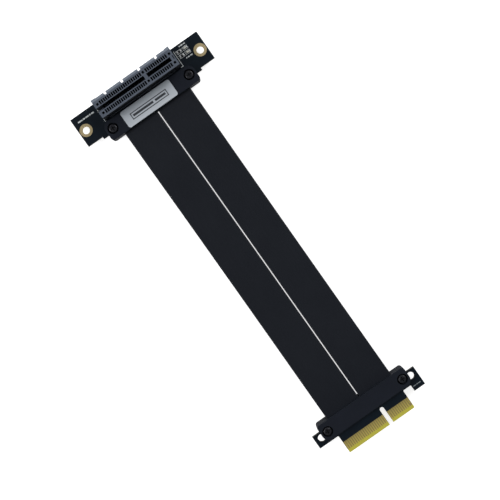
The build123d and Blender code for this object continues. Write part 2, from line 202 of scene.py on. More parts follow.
def black_polyester_film():
    """Matte rolled film: faint lengthwise drag, and dull patches where it was handled."""
    material, tree, shader, place = start_material("black_polyester_film", "#13161d", 0.48,
                                                   specular=0.22)
    drawn_out = add_node(tree, "ShaderNodeMapping", {"Vector": place, "Scale": DRAWN_ALONG_Y})
    drag = add_node(tree, "ShaderNodeTexNoise",
                    {"Vector": drawn_out, "Scale": scale_for(0.22), "Detail": 4.0})
    patches = add_node(tree, "ShaderNodeTexNoise",
                       {"Vector": place, "Scale": scale_for(9.0), "Detail": NOISE_DETAIL})
    grain = add_node(tree, "ShaderNodeTexNoise",
                     {"Vector": place, "Scale": scale_for(0.12), "Detail": 2.0})
    streaked = add_node(tree, "ShaderNodeMix", {
        "Factor": drag, FIRST: "#101319", SECOND: "#171a21"}, MIXED, data_type="RGBA")
    handled = add_node(tree, "ShaderNodeMapRange",
                       {"Value": patches, "To Min": 0.0, "To Max": 0.4})
    colour = add_node(tree, "ShaderNodeMix", {
        "Factor": handled, FIRST: streaked, SECOND: "#11161e"}, MIXED, data_type="RGBA")
    roughness = add_node(tree, "ShaderNodeMapRange",
                         {"Value": patches, "To Min": 0.42, "To Max": 0.52})
    fine = add_node(tree, "ShaderNodeBump",
                    {"Height": grain, "Distance": 0.01 * MM, "Strength": 0.35})
    relief = add_node(tree, "ShaderNodeBump", {
        "Height": drag, "Distance": 0.02 * MM, "Strength": 0.5, "Normal": fine})
    set_sockets(tree, shader, {"Base Color": colour, "Roughness": roughness, "Normal": relief})
    return material


ribbon_film = black_polyester_film()
print("made", ribbon_film.name)

# %% [markdown]
# ## Geometry as a tree of nodes
#
# A curve can be given a plain bevel, but a ribbon has a flat section with ridges, and the
# plug has long rows of equal fingers. A Geometry Nodes tree can draw such a form from named
# sizes, so that a wider ribbon or another finger is one changed number. The four helpers
# start a tree with its named inputs, end it with a material, find an input by its name, and
# run a tree on an object to get a plain mesh back.

# %% Start, end and run a geometry tree
def start_tree(name, inputs):
    """A geometry tree with named inputs; inputs is a list of a name and a socket kind."""
    tree = bpy.data.node_groups.new(name, "GeometryNodeTree")
    tree.interface.new_socket("Geometry", in_out="INPUT", socket_type="NodeSocketGeometry")
    for label, kind in inputs:
        tree.interface.new_socket(label, in_out="INPUT", socket_type="NodeSocket" + kind)
    tree.interface.new_socket("Geometry", in_out="OUTPUT", socket_type="NodeSocketGeometry")
    return tree, tree.nodes.new("NodeGroupInput").outputs


def end_tree(tree, geometry, material):
    """Make instances real, set the material and send the geometry out."""
    real = add_node(tree, "GeometryNodeRealizeInstances", {"Geometry": geometry})
    painted = add_node(tree, "GeometryNodeSetMaterial", {"Geometry": real, "Material": material})
    add_node(tree, "NodeGroupOutput", {"Geometry": painted}, None)


def socket_of(tree, name):
    """Identifier of a tree's named input, which is what a modifier is set by."""
    return next(item.identifier for item in tree.interface.items_tree
                if item.name == name and item.in_out == "INPUT")


def run_tree(host, tree, values, name):
    """Put a tree on an object with its values, and return its result as a plain mesh."""
    modifier = host.modifiers.new("tree", "NODES")
    modifier.node_group = tree
    for label, value in values.items():
        modifier[socket_of(tree, label)] = value
    graph = bpy.context.evaluated_depsgraph_get()
    mesh = bpy.data.meshes.new_from_object(host.evaluated_get(graph), depsgraph=graph)
    host.modifiers.remove(modifier)
    mesh.name = name
    return mesh


print("meshes before the first tree runs:", len(bpy.data.meshes))

# %% [markdown]
# ## The section of a ribbon
#
# The tree draws a rectangle, rounds its corners, and spreads points evenly round it. Points
# on the two flat sides are then lifted by the square of a sine, which makes a row of low
# ridges and leaves the edges as they are. The finished section is carried along the curve
# that the tree sits on. It is kept level on the way and capped at both ends, so the ribbon
# is one closed mesh.

# %% Ribbon tree
EDGE_SEGMENTS = 4
NEARLY_HALF = 0.499


def ridge_offset(tree, given, plain):
    """How far a point of the section moves outwards, as a vector along Y."""
    position = add_node(tree, "GeometryNodeInputPosition")
    spot = add_node(tree, "ShaderNodeSeparateXYZ", {"Vector": position}, None).outputs
    share = add_node(tree, "ShaderNodeMath", {0: spot["X"], 1: given["Width"]},
                     operation="DIVIDE")
    across = add_node(tree, "ShaderNodeMath", {0: share, 1: 0.5}, operation="ADD")
    turns = add_node(tree, "ShaderNodeMath", {0: across, 1: given["Ridges"]},
                     operation="MULTIPLY")
    angle = add_node(tree, "ShaderNodeMath", {0: turns, 1: math.pi}, operation="MULTIPLY")
    wave = add_node(tree, "ShaderNodeMath", {0: angle}, operation="SINE")
    hump = add_node(tree, "ShaderNodeMath", {0: wave, 1: wave}, operation="MULTIPLY")
    height = add_node(tree, "ShaderNodeMath", {0: hump, 1: given["Ridge Height"]},
                      operation="MULTIPLY")
    off_middle = add_node(tree, "ShaderNodeMath", {0: spot["Y"]}, operation="ABSOLUTE")
    face_from = add_node(tree, "ShaderNodeMath", {0: plain, 1: NEARLY_HALF},
                         operation="MULTIPLY")
    on_face = add_node(tree, "ShaderNodeMath", {0: off_middle, 1: face_from},
                       operation="GREATER_THAN")
    upwards = add_node(tree, "ShaderNodeMath", {0: spot["Y"]}, operation="SIGN")
    lift = add_node(tree, "ShaderNodeMath", {0: height, 1: on_face}, operation="MULTIPLY")
    outwards = add_node(tree, "ShaderNodeMath", {0: lift, 1: upwards}, operation="MULTIPLY")
    return add_node(tree, "ShaderNodeCombineXYZ", {"Y": outwards})


def ribbon_tree():
    """Ridged flat section carried along the route that the modifier sits on."""
    tree, given = start_tree("ridged_ribbon", [
        ("Width", "Float"), ("Thickness", "Float"), ("Edge Radius", "Float"),
        ("Ridges", "Float"), ("Ridge Height", "Float"), ("Section Points", "Int"),
        ("Material", "Material")])
    both_ridges = add_node(tree, "ShaderNodeMath", {0: given["Ridge Height"], 1: 2.0},
                           operation="MULTIPLY")
    plain = add_node(tree, "ShaderNodeMath", {0: given["Thickness"], 1: both_ridges},
                     operation="SUBTRACT")
    outline = add_node(tree, "GeometryNodeCurvePrimitiveQuadrilateral",
                       {"Width": given["Width"], "Height": plain})
    rounded = add_node(tree, "GeometryNodeFilletCurve", {
        "Curve": outline, "Radius": given["Edge Radius"], "Count": EDGE_SEGMENTS}, mode="POLY")
    even = add_node(tree, "GeometryNodeResampleCurve",
                    {"Curve": rounded, "Count": given["Section Points"]})
    ridged = add_node(tree, "GeometryNodeSetPosition",
                      {"Geometry": even, "Offset": ridge_offset(tree, given, plain)})
    level = add_node(tree, "GeometryNodeSetCurveNormal", {"Curve": given["Geometry"]},
                     mode="Z_UP")
    body = add_node(tree, "GeometryNodeCurveToMesh",
                    {"Curve": level, "Profile Curve": ridged, "Fill Caps": True})
    end_tree(tree, body, given["Material"])
    return tree


ridged_ribbon = ribbon_tree()
print("tree", ridged_ribbon.name, "has", len(ridged_ribbon.nodes), "nodes")

# %% [markdown]
# ## Routes of the ribbons
#
# Each ribbon leaves the plug's cover level, is let down to the table by its own weight, and
# rises again into the slot's cover. Six points are enough for that, and a NURBS curve makes
# one smooth line of them. The upper ribbons follow the same points one step higher, because
# they lie on the lower ones.

# %% Routes
# Stations, heights and the step between the layers are in millimetres.
STATIONS_Y = (-76.525, -60.125, -29.125, 29.675, 60.675, 77.075)
LOWER_HEIGHTS = (3.1, 3.1, 0.6, 0.6, 3.1, 3.1)
LAYER_STEP = 1.2
STEPS_BETWEEN_POINTS = 24
CURVE_ORDER = 3


def route_points(x, layer):
    """A ribbon's points: level out of the plug, down, along the table, up and level."""
    return [Vector((x, y * MM, (z + layer * LAYER_STEP) * MM))
            for y, z in zip(STATIONS_Y, LOWER_HEIGHTS)]


def smooth_route(name, points):
    """One NURBS curve with those points as its control points."""
    curve = bpy.data.curves.new(name, "CURVE")
    curve.dimensions = "3D"
    curve.resolution_u = STEPS_BETWEEN_POINTS
    spline = curve.splines.new("NURBS")
    spline.points.add(len(points) - 1)
    for knot, point in zip(spline.points, points):
        knot.co = (*point, 1.0)
    spline.order_u = CURVE_ORDER
    spline.use_endpoint_u = True
    route = add_object(name, curve)
    bpy.context.view_layer.update()
    return route


print("a route has", len(STATIONS_Y), "points over",
      round(STATIONS_Y[-1] - STATIONS_Y[0], 3), "mm")

# %% [markdown]
# ## Four ribbons
#
# Two ribbons lie side by side in each layer, with a narrow gap between them. The tree runs
# on each route and gives its mesh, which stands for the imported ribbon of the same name. The
# packed ribbon is a plain solid, so it holds the size and the mass, and this one the look.

# %% Ribbons
RIBBON_WIDTH = 16.75 * MM
RIBBON_GAP = 0.4 * MM
RIBBON_X = (RIBBON_WIDTH + RIBBON_GAP) / 2
RIBBON_THICKNESS = 1.1 * MM
RIBBON_EDGE_RADIUS = 0.3 * MM
RIDGE_HEIGHT = 0.025 * MM
RIDGES = 13.0
SECTION_POINTS = 150
SHARP_FROM = math.radians(50)


def add_piece(name, mesh, node=None):
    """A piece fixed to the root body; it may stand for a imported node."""
    piece = add_object(name, mesh)
    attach(piece, "root")
    if node:
        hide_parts(node)
    return piece


def make_ribbon(node, x, layer):
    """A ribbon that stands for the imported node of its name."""
    points = route_points(x, layer)
    route = smooth_route(node + "_route", points)
    line = bpy.data.meshes.new_from_object(route)
    mesh = run_tree(route, ridged_ribbon, {
        "Width": RIBBON_WIDTH, "Thickness": RIBBON_THICKNESS, "Edge Radius": RIBBON_EDGE_RADIUS,
        "Ridges": RIDGES, "Ridge Height": RIDGE_HEIGHT, "Section Points": SECTION_POINTS,
        "Material": ribbon_film}, node + "_jacket")
    bpy.data.objects.remove(route)
    bpy.data.meshes.remove(line)
    mesh.shade_smooth()
    mesh.set_sharp_from_angle(angle=SHARP_FROM)
    piece = add_piece(node + "_jacket", mesh, node)
    return piece


ribbons = [make_ribbon("ribbon_" + layer_name + "_" + side_name, side * RIBBON_X, layer)
           for layer, layer_name in enumerate(("lower", "upper"))
           for side, side_name in ((-1, "left"), (1, "right"))]
print("ribbons:", [(r.name, len(r.data.polygons)) for r in ribbons])

# %% [markdown]
# ## Circuit boards
#
# Both boards are glass cloth set in epoxy, 1.6 mm thick, with black solder mask printed over
# the copper. The mask is a thin glossy lacquer that the copper below makes very slightly
# uneven. Two places show bare laminate: the sawn edges, and the tongue between and below its
# fingers, where a mill has cut the long bevel. One material does all of this, because the
# zones are known distances from the tongue's tip and the sawn edges face sideways. Each
# zone has two close colours, and is laid over the ones before it.

# %% Board material
TIP_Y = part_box("plug_board")[0].y
# Distances from the tongue's tip to the top of its fingers and to the end of its bevel.
FINGER_TOP = 5.6 * MM
BEVEL = 1.75 * MM
SAWN_EDGE_BELOW = 0.5
MASK_ROUGHNESS, BARE_ROUGHNESS = 0.3, 0.7
TONGUE_ZONES = ((FINGER_TOP, "#7f7046", "#8f8050"), (BEVEL, "#b3ac3a", "#c6bf4c"))


def masked_laminate(name, with_tongue):
    """Black solder mask on glass epoxy; the tongue and the sawn edges are bare."""
    material, tree, shader, place = start_material(name, "#0d161e", MASK_ROUGHNESS, specular=0.4)
    speckle = add_node(tree, "ShaderNodeTexNoise",
                       {"Vector": place, "Scale": scale_for(0.35), "Detail": 4.0})
    uneven = add_node(tree, "ShaderNodeTexNoise",
                      {"Vector": place, "Scale": scale_for(3.0), "Detail": NOISE_DETAIL})
    normal = add_node(tree, "ShaderNodeNewGeometry", out="Normal")
    normal_z = add_node(tree, "ShaderNodeSeparateXYZ", {"Vector": normal}, "Z")
    flatness = add_node(tree, "ShaderNodeMath", {0: normal_z}, operation="ABSOLUTE")
    bare = add_node(tree, "ShaderNodeMath", {0: flatness, 1: SAWN_EDGE_BELOW},
                    operation="LESS_THAN")
    zones = [(bare, "#1d1c15", "#2c2a1d")]
    if with_tongue:
        y = add_node(tree, "ShaderNodeSeparateXYZ", {"Vector": place}, "Y")
        for reach, dark, light in TONGUE_ZONES:
            zone = add_node(tree, "ShaderNodeMath", {0: y, 1: TIP_Y + reach},
                            operation="LESS_THAN")
            zones.append((zone, dark, light))
            bare = add_node(tree, "ShaderNodeMath", {0: bare, 1: zone}, operation="MAXIMUM")
    colour = add_node(tree, "ShaderNodeMix", {
        "Factor": uneven, FIRST: "#0b121a", SECOND: "#101a23"}, MIXED, data_type="RGBA")
    for zone, dark, light in zones:
        own = add_node(tree, "ShaderNodeMix", {
            "Factor": speckle, FIRST: dark, SECOND: light}, MIXED, data_type="RGBA")
        colour = add_node(tree, "ShaderNodeMix", {
            "Factor": zone, FIRST: colour, SECOND: own}, MIXED, data_type="RGBA")
    roughness = add_node(tree, "ShaderNodeMapRange",
                         {"Value": bare, "To Min": MASK_ROUGHNESS, "To Max": BARE_ROUGHNESS})
    fine = add_node(tree, "ShaderNodeBump",
                    {"Height": speckle, "Distance": 0.01 * MM, "Strength": 0.3})
    relief = add_node(tree, "ShaderNodeBump", {
        "Height": uneven, "Distance": 0.05 * MM, "Strength": 0.15, "Normal": fine})
    set_sockets(tree, shader, {"Base Color": colour, "Roughness": roughness, "Normal": relief})
    return material


def finish_node(name, material):
    """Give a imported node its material."""
    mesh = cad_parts[name].data
    mesh.materials.clear()
    mesh.materials.append(material)


finish_node("slot_board", masked_laminate("black_masked_board", with_tongue=False))
finish_node("plug_board", masked_laminate("black_masked_edge_board", with_tongue=True))
print("tongue tip at y =", round(TIP_Y, 5))

# %% [markdown]
# ## Plated metals
#
# The rings round the bolt holes have the thin gold that protects bare copper, and look
# matte. Solder is bright tin, the slot's springs are plated bronze, and the nuts are plain
# brass. The springs' colours are painted nearly black, as painted shade deep in the housing's
# windows. The metals differ in two colours, a roughness and the scale of their marks, so one
# function makes them all. The blotches are eight times as wide as the marks.

# %% Metal materials
BLOTCH_TO_MARK = 8
SMOOTHER_BY, ROUGHER_BY = 0.06, 0.1


def plated_metal(name, dark, light, roughness, mark_mm, depth_mm=0.004, metallic=1.0):
    """Bare or plated metal: two close colours in soft blotches, and a fine worn grain."""
    material, tree, shader, place = start_material(name, light, roughness, metallic)
    blotches = add_node(tree, "ShaderNodeTexNoise", {
        "Vector": place, "Scale": scale_for(BLOTCH_TO_MARK * mark_mm), "Detail": NOISE_DETAIL})
    grain = add_node(tree, "ShaderNodeTexNoise",
                     {"Vector": place, "Scale": scale_for(mark_mm), "Detail": 4.0})
    colour = add_node(tree, "ShaderNodeMix", {
        "Factor": blotches, FIRST: dark, SECOND: light}, MIXED, data_type="RGBA")
    worn = add_node(tree, "ShaderNodeMapRange", {
        "Value": grain, "To Min": roughness - SMOOTHER_BY, "To Max": roughness + ROUGHER_BY})
    relief = add_node(tree, "ShaderNodeBump",
                      {"Height": grain, "Distance": depth_mm * MM, "Strength": 0.5})
    set_sockets(tree, shader, {"Base Color": colour, "Roughness": worn, "Normal": relief})
    return material


soft_gold = plated_metal("immersion_gold", "#b3a27c", "#c3b38c", roughness=0.55, mark_mm=0.1,
                         metallic=0.8)
# The springs' colours are painted nearly black, as painted shade deep in the housing's windows.
shaded_spring_bronze = plated_metal("plated_spring_bronze", "#2b261e", "#3e3729", roughness=0.42,
                             mark_mm=0.1)
bright_tin = plated_metal("bright_tin", "#bfc1c3", "#dcddde", roughness=0.35, mark_mm=0.15,
                          depth_mm=0.01, metallic=0.5)
turned_brass = plated_metal("turned_brass", "#a8873f", "#c9a854", roughness=0.3, mark_mm=0.12)
METAL_OF_NODES = (
    (soft_gold, ("slot_bolt_hole_plating", "slot_board_pads", "plug_board_pads")),
    (shaded_spring_bronze, ("slot_contacts_near", "slot_contacts_far")),
    (bright_tin, ("slot_solder_joints", "slot_end_wires_upper", "slot_end_wires_lower",
                  "plug_end_wires_upper", "plug_end_wires_lower")),
    (turned_brass, ("slot_cover_nuts", "plug_cover_nuts")),
)
for metal, nodes in METAL_OF_NODES:
    for node in nodes:
        finish_node(node, metal)
    print(metal.name, "on", len(nodes), "nodes")

# %% [markdown]
# ## Hard gold
#
# Card fingers carry hard gold over nickel, which is a shade greener and duller than jewellery
# gold. Every card slot that the plug has been in has rubbed them, most of all near the tip,
# where the springs first touch. So this metal has a recipe of its own: it goes from the fresh
# colour at the top of the fingers to a paler and yellower one at the bevel.

# %% Finger material
def worn_gold():
    """Hard gold that card slots have rubbed paler and yellower towards the tongue's tip."""
    material, tree, shader, place = start_material("hard_gold", "#c6b564", 0.52, metallic=0.7)
    grain = add_node(tree, "ShaderNodeTexNoise",
                     {"Vector": place, "Scale": scale_for(0.08), "Detail": 4.0})
    y = add_node(tree, "ShaderNodeSeparateXYZ", {"Vector": place}, "Y")
    rubbed = add_node(tree, "ShaderNodeMapRange", {
        "Value": y, "From Min": TIP_Y + FINGER_TOP, "From Max": TIP_Y + BEVEL})
    fresh = add_node(tree, "ShaderNodeMix", {
        "Factor": grain, FIRST: "#a8975a", SECOND: "#b5a462"}, MIXED, data_type="RGBA")
    worn = add_node(tree, "ShaderNodeMix", {
        "Factor": grain, FIRST: "#c9b960", SECOND: "#d8c76a"}, MIXED, data_type="RGBA")
    colour = add_node(tree, "ShaderNodeMix", {
        "Factor": rubbed, FIRST: fresh, SECOND: worn}, MIXED, data_type="RGBA")
    roughness = add_node(tree, "ShaderNodeMapRange",
                         {"Value": grain, "To Min": 0.46, "To Max": 0.62})
    relief = add_node(tree, "ShaderNodeBump",
                      {"Height": grain, "Distance": 0.004 * MM, "Strength": 0.5})
    set_sockets(tree, shader, {"Base Color": colour, "Roughness": roughness, "Normal": relief})
    return material


hard_gold = worn_gold()
print("made", hard_gold.name)

# %% [markdown]
# ## One finger, many times
#
# A four-lane edge has 32 fingers a side at a 1 mm pitch, and the etching leaves their corners
# slightly round. Modelling each by hand would be dull and hard to change. A Geometry Nodes
# tree draws one finger, gives it thickness, and sets copies of it along a line. The face that
# is raised leaves the bottom open, so a flipped copy closes it, and the two are welded.

# %% Finger tree
CORNER_SEGMENTS = 3
WELD_DISTANCE = 0.001 * MM


def finger_tree():
    """Copies of one round-cornered plated strip, set along X at a pitch."""
    tree, given = start_tree("finger_run", [
        ("Count", "Int"), ("Pitch", "Float"), ("Start", "Vector"), ("Width", "Float"),
        ("Length", "Float"), ("Thickness", "Float"), ("Corner", "Float"),
        ("Material", "Material")])
    step = add_node(tree, "ShaderNodeCombineXYZ", {"X": given["Pitch"]})
    line = add_node(tree, "GeometryNodeMeshLine", {
        "Count": given["Count"], "Start Location": given["Start"], "Offset": step},
        mode="OFFSET")
    outline = add_node(tree, "GeometryNodeCurvePrimitiveQuadrilateral",
                       {"Width": given["Width"], "Height": given["Length"]})
    rounded = add_node(tree, "GeometryNodeFilletCurve", {
        "Curve": outline, "Radius": given["Corner"], "Count": CORNER_SEGMENTS}, mode="POLY")
    face = add_node(tree, "GeometryNodeFillCurve", {"Curve": rounded}, mode="NGONS")
    raised = add_node(tree, "GeometryNodeExtrudeMesh", {
        "Mesh": face, "Offset Scale": given["Thickness"], "Individual": False})
    underside = add_node(tree, "GeometryNodeFlipFaces", {"Mesh": face})
    both = add_node(tree, "GeometryNodeJoinGeometry", out=None)
    for part in (raised, underside):
        tree.links.new(part, both.inputs[0])
    closed = add_node(tree, "GeometryNodeMergeByDistance",
                      {"Geometry": both.outputs[0], "Distance": WELD_DISTANCE})
    copies = add_node(tree, "GeometryNodeInstanceOnPoints", {"Points": line, "Instance": closed})
    end_tree(tree, copies, given["Material"])
    return tree


row_of_fingers = finger_tree()
print("tree", row_of_fingers.name, "has", len(row_of_fingers.nodes), "nodes")

# %% [markdown]
# ## The runs of fingers
#
# A notch, off the middle of the edge, keeps a card from going in backwards, so the fingers
# stand in a short and a long group. The fingers that report a card's presence are shorter
# than the rest, so that they touch last. Each unbroken run of equal fingers is one use of
# the tree, and all runs of a face are joined into one piece.

# %% Runs of fingers
PITCH = 1.0 * MM
KEY_X = 5.0 * MM
FIRST_FROM_KEY = 1.5 * MM
SHORT_SIDE, LONG_SIDE = 11, 21
FINGER_WIDTH = 0.7 * MM
FINGER_THICKNESS = 0.06 * MM
FINGER_CORNER = 0.12 * MM
SHORTER_BY = 1.2 * MM
SHORT_ON_TOP, SHORT_BELOW = (1,), (17, 31)


def finger_runs(short_numbers):
    """Runs of equal neighbours, as the x of the first, how many, and how much shorter."""
    last = FIRST_FROM_KEY + (SHORT_SIDE - 1) * PITCH
    places = [last - i * PITCH for i in range(SHORT_SIDE)]
    places += [-FIRST_FROM_KEY - i * PITCH for i in range(LONG_SIDE)]
    runs = []
    for number, place in enumerate(places, start=1):
        cut = SHORTER_BY if number in short_numbers else 0.0
        fresh = not runs or runs[-1][2] != cut or number == SHORT_SIDE + 1
        if fresh:
            runs.append([KEY_X + place, 0, cut])
        runs[-1][1] += 1
    return runs


def mesh_of(work, name, material):
    """The mesh of a finished bmesh, with its one material."""
    mesh = bpy.data.meshes.new(name)
    work.to_mesh(mesh)
    work.free()
    mesh.materials.append(material)
    return mesh


def make_fingers(node, short_numbers):
    """The fingers of one face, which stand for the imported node."""
    low_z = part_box(node)[0].z
    host = add_object("finger_host", bpy.data.meshes.new("finger_host"))
    work = bmesh.new()
    for x, count, cut in finger_runs(short_numbers):
        length = FINGER_TOP - BEVEL - cut
        start = Vector((x, TIP_Y + BEVEL + cut + length / 2, low_z))
        work.from_mesh(run_tree(host, row_of_fingers, {
            "Count": count, "Pitch": -PITCH, "Start": start, "Width": FINGER_WIDTH,
            "Length": length, "Thickness": FINGER_THICKNESS, "Corner": FINGER_CORNER,
            "Material": hard_gold}, node + "_run"))
    bpy.data.objects.remove(host)
    name = node + "_plated"
    return add_piece(name, mesh_of(work, name, hard_gold), node)


for node, short_numbers in (("plug_fingers_top", SHORT_ON_TOP),
                            ("plug_fingers_bottom", SHORT_BELOW)):
    fingers = make_fingers(node, short_numbers)
    print(fingers.name, "has", len(fingers.data.polygons), "faces")

# %% [markdown]
# ## The housing's plastic
#
# The housing is moulded in a black glass-filled plastic that stands the heat of the solder
# bath. Its colour carries painted light: the walls are painted nearly black as shade, the
# upper faces a dull grey-blue as a painted sheen from the light above, and the thin flange of
# the far side palest, as a painted highlight. The way that a face points tells wall from top.
# The glass is finer than the grain that is drawn here so that it shows.

# %% Housing material
FLANGE = 1.15 * MM
SHADED_WALL_BELOW, LIT_TOP_FROM = 0.4, 0.95


def glass_filled_plastic():
    """Moulded plastic: painted sheen and flow marks above, painted shade on the walls."""
    material, tree, shader, place = start_material("glass_filled_plastic", "#5f6672", 0.55,
                                                   specular=0.25)
    flow = add_node(tree, "ShaderNodeTexNoise",
                    {"Vector": place, "Scale": scale_for(2.5), "Detail": 4.0})
    grain = add_node(tree, "ShaderNodeTexNoise",
                     {"Vector": place, "Scale": scale_for(0.09), "Detail": NOISE_DETAIL})
    normal = add_node(tree, "ShaderNodeNewGeometry", out="Normal")
    normal_z = add_node(tree, "ShaderNodeSeparateXYZ", {"Vector": normal}, "Z")
    upward = add_node(tree, "ShaderNodeMapRange",
                      {"Value": normal_z, "From Min": SHADED_WALL_BELOW, "From Max": LIT_TOP_FROM})
    y = add_node(tree, "ShaderNodeSeparateXYZ", {"Vector": place}, "Y")
    flange_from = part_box("slot_housing")[1].y - FLANGE
    on_flange = add_node(tree, "ShaderNodeMath", {0: y, 1: flange_from},
                         operation="GREATER_THAN")
    # Painted light: the walls are painted dark as shade, the upper faces a painted sheen, and the
    # far flange a painted highlight.
    painted_shade_wall, painted_sheen_rim, painted_highlight_flange = [
        add_node(tree, "ShaderNodeMix", {"Factor": flow, FIRST: dark, SECOND: light}, MIXED,
                 data_type="RGBA")
        for dark, light in (("#0f1216", "#171a20"), ("#454c57", "#525965"),
                            ("#6a717c", "#78808b"))]
    top = add_node(tree, "ShaderNodeMix", {
        "Factor": on_flange, FIRST: painted_sheen_rim, SECOND: painted_highlight_flange}, MIXED, data_type="RGBA")
    colour = add_node(tree, "ShaderNodeMix", {
        "Factor": upward, FIRST: painted_shade_wall, SECOND: top}, MIXED, data_type="RGBA")
    roughness = add_node(tree, "ShaderNodeMapRange",
                         {"Value": flow, "To Min": 0.48, "To Max": 0.62})
    relief = add_node(tree, "ShaderNodeBump",
                      {"Height": grain, "Distance": 0.012 * MM, "Strength": 0.4})
    set_sockets(tree, shader, {"Base Color": colour, "Roughness": roughness, "Normal": relief})
    return material


housing_plastic = glass_filled_plastic()
print("made", housing_plastic.name)

# %% [markdown]
# ## The housing's edges
#
# Real mouldings have no knife edges: light catches a narrow radius round each window. The
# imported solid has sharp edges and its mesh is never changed, so a copy of it is worked on.
# The copy is welded into one closed skin, its flat regions are joined, and every outward
# edge gets a narrow bevel. A Bevel modifier could do the last step, but the mesh has to be
# cleaned first, and one small function can do all of it.

# %% Housing with rounded edges
HOUSING_EDGE = 0.06 * MM
FLAT_WITHIN = math.radians(1)
EDGE_FROM = math.radians(30)


def rounded_copy(node, name, width, material):
    """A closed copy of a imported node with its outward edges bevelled."""
    work = bmesh.new()
    work.from_mesh(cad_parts[node].data)
    bmesh.ops.remove_doubles(work, verts=work.verts, dist=WELD_DISTANCE)
    bmesh.ops.dissolve_limit(work, angle_limit=FLAT_WITHIN, verts=work.verts, edges=work.edges)
    outward = [edge for edge in work.edges if len(edge.link_faces) == 2 and edge.is_convex
               and edge.calc_face_angle() > EDGE_FROM]
    bmesh.ops.bevel(work, geom=outward, offset=width, segments=1, profile=0.5,
                    affect="EDGES", clamp_overlap=True)
    bmesh.ops.triangulate(work, faces=work.faces)
    open_edges = sum(1 for edge in work.edges if len(edge.link_faces) != 2)
    print(name, "has", len(work.faces), "faces and", open_edges, "open edges")
    return add_piece(name, mesh_of(work, name, material), node)


rounded_copy("slot_housing", "slot_housing_moulding", HOUSING_EDGE, housing_plastic)

# %% [markdown]
# ## Covers and screws
#
# The covers are injection-moulded ABS with a spark-eroded grain, which scatters light evenly
# and hides finger marks. Such a grain is finer than the picture can show, so it is drawn
# coarser. The screws are steel with a black zinc finish, smoother than the plastic round
# them, so that a highlight picks out their heads.

# %% Cover and screw materials
def grained_abs():
    """Black moulded plastic with an even eroded grain."""
    material, tree, shader, place = start_material("grained_black_abs", "#1c1f25", 0.6,
                                                   specular=0.03)
    grain = add_node(tree, "ShaderNodeTexNoise",
                     {"Vector": place, "Scale": scale_for(0.16), "Detail": 2.0})
    clouds = add_node(tree, "ShaderNodeTexNoise",
                      {"Vector": place, "Scale": scale_for(6.0), "Detail": NOISE_DETAIL})
    colour = add_node(tree, "ShaderNodeMix", {
        "Factor": clouds, FIRST: "#1a1d23", SECOND: "#1f222a"}, MIXED, data_type="RGBA")
    roughness = add_node(tree, "ShaderNodeMapRange",
                         {"Value": grain, "To Min": 0.54, "To Max": 0.7})
    relief = add_node(tree, "ShaderNodeBump",
                      {"Height": grain, "Distance": 0.03 * MM, "Strength": 0.5})
    set_sockets(tree, shader, {"Base Color": colour, "Roughness": roughness, "Normal": relief})
    return material


def black_zinc():
    """Black-plated steel: dark, half metallic, with faint wear."""
    material, tree, shader, place = start_material("black_zinc_steel", "#202126", 0.38,
                                                   metallic=0.4)
    wear = add_node(tree, "ShaderNodeTexNoise",
                    {"Vector": place, "Scale": scale_for(0.5), "Detail": 5.0})
    colour = add_node(tree, "ShaderNodeMix", {
        "Factor": wear, FIRST: "#1a1b1f", SECOND: "#2b2c32"}, MIXED, data_type="RGBA")
    roughness = add_node(tree, "ShaderNodeMapRange",
                         {"Value": wear, "To Min": 0.3, "To Max": 0.46})
    relief = add_node(tree, "ShaderNodeBump",
                      {"Height": wear, "Distance": 0.01 * MM, "Strength": 0.3})
    set_sockets(tree, shader, {"Base Color": colour, "Roughness": roughness, "Normal": relief})
    return material


cover_plastic = grained_abs()
screw_black = black_zinc()
for end in ("slot", "plug"):
    finish_node(end + "_cover_top", cover_plastic)
    finish_node(end + "_cover_bottom", cover_plastic)
    finish_node(end + "_cover_screws", screw_black)
print("finished the covers with", cover_plastic.name, "and the screws with", screw_black.name)

# %% [markdown]
# ## Chips beside the slot
#
# Two indicator lights and their two resistors are chips: a body of clear resin or glazed
# ceramic between tinned caps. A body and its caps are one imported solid. Distance from the
# chips' middle line tells them apart, so one material holds both finishes.

# %% Chip materials
CHIP_HALF_BODY = 0.5 * MM
CAP_METALLIC = 0.4


def capped_chip(name, node, dark, light, roughness):
    """Chip body between tinned caps, told apart by distance from the chips' middle line."""
    material, tree, shader, place = start_material(name, light, roughness)
    low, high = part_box(node)
    x = add_node(tree, "ShaderNodeSeparateXYZ", {"Vector": place}, "X")
    from_middle = add_node(tree, "ShaderNodeMath", {0: x, 1: (low.x + high.x) / 2},
                           operation="SUBTRACT")
    away = add_node(tree, "ShaderNodeMath", {0: from_middle}, operation="ABSOLUTE")
    cap = add_node(tree, "ShaderNodeMath", {0: away, 1: CHIP_HALF_BODY},
                   operation="GREATER_THAN")
    speckle = add_node(tree, "ShaderNodeTexNoise",
                       {"Vector": place, "Scale": scale_for(0.2), "Detail": NOISE_DETAIL})
    body = add_node(tree, "ShaderNodeMix", {
        "Factor": speckle, FIRST: dark, SECOND: light}, MIXED, data_type="RGBA")
    colour = add_node(tree, "ShaderNodeMix", {
        "Factor": cap, FIRST: body, SECOND: "#dddedf"}, MIXED, data_type="RGBA")
    metal = add_node(tree, "ShaderNodeMath", {0: cap, 1: CAP_METALLIC}, operation="MULTIPLY")
    relief = add_node(tree, "ShaderNodeBump",
                      {"Height": speckle, "Distance": 0.01 * MM, "Strength": 0.3})
    set_sockets(tree, shader, {"Base Color": colour, "Metallic": metal, "Normal": relief})
    return material


finish_node("indicator_leds", capped_chip("clear_resin_chip", "indicator_leds",
                                          "#b9bab2", "#d2d3c9", roughness=0.2))
finish_node("indicator_resistors", capped_chip("glazed_chip", "indicator_resistors",
                                               "#15161a", "#24252a", roughness=0.3))
for node in ("indicator_leds", "indicator_resistors"):
    low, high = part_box(node)
    print(node, "span", [round(side / MM, 2) for side in high - low], "mm")

